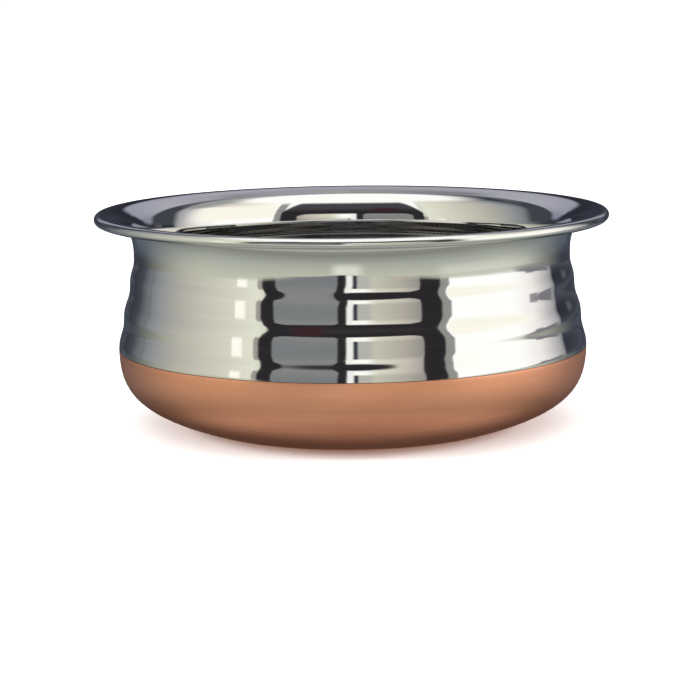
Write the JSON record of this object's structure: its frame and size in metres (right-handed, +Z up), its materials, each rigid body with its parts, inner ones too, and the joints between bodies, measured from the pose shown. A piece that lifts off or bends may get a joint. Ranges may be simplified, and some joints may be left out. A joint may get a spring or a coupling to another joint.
{
  "type": "wide cooking pot",
  "caption": "Wide open cooking pot of polished steel with a broad rolled lip, a softly ribbed side and a rounded copper bottom.",
  "frame": {"origin": "centre of the flat base, on the surface that the pot stands on", "axes": "+Z up along the pot's axis, out of the mouth; the pot is round, so +X and +Y are any two level directions, with the picture taken from -Y"},
  "size_m": [0.26, 0.26, 0.108],
  "materials": {
    "polished_steel": "mirror-polished stainless steel sheet, satin-spun floor inside",
    "satin_copper": "satin copper with fine brushing round the pot; brass stands in for copper"
  },
  "bodies": {
    "root": {"steel_vessel": "polished_steel", "copper_bottom": "satin_copper"}
  },
  "joints": []
}
